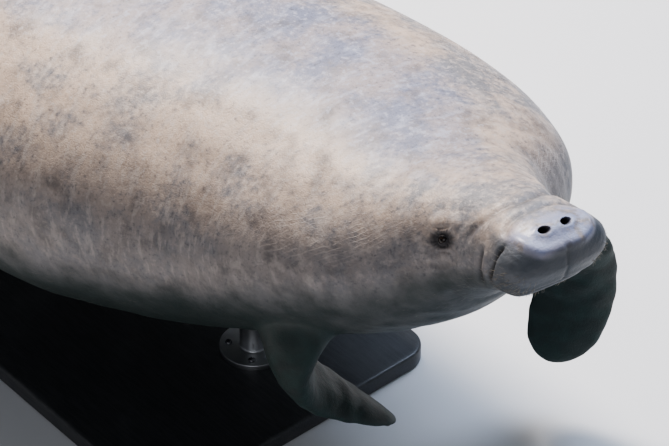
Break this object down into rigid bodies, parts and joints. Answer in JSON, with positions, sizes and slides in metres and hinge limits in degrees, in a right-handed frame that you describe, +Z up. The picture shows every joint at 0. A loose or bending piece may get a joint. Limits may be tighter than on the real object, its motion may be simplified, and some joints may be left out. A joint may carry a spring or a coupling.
{
  "type": "manatee model",
  "caption": "Still, life-size model of a plump adult manatee, snout raised to breathe, flippers hanging and paddle tail trailing, held over a flat base by plain rods.",
  "frame": {"origin": "middle of the underside of the stand's base, on the floor", "axes": "+Z up, -Y the way the animal faces, +X towards the animal's left side"},
  "size_m": [0.9889, 3.0062, 0.9367],
  "materials": {
    "skin": "wet, finely wrinkled grey-brown hide, paler and tan on the back",
    "flipper_skin": "wet, dark slate hide",
    "eye": "wet, nearly black",
    "stand_base": "satin dark grey lacquer",
    "stand_rod": "brushed"
  },
  "bodies": {
    "root": {"head": "skin", "lower_jaw": "skin", "eye_right": "eye", "eye_left": "eye", "neck": "skin", "chest": "skin", "belly": "skin", "tail_stock": "skin", "tail_paddle": "skin", "flipper_right": "flipper_skin", "flipper_left": "flipper_skin", "stand_base": "stand_base", "stand_rod_front": "stand_rod", "stand_rod_back": "stand_rod"}
  },
  "joints": []
}
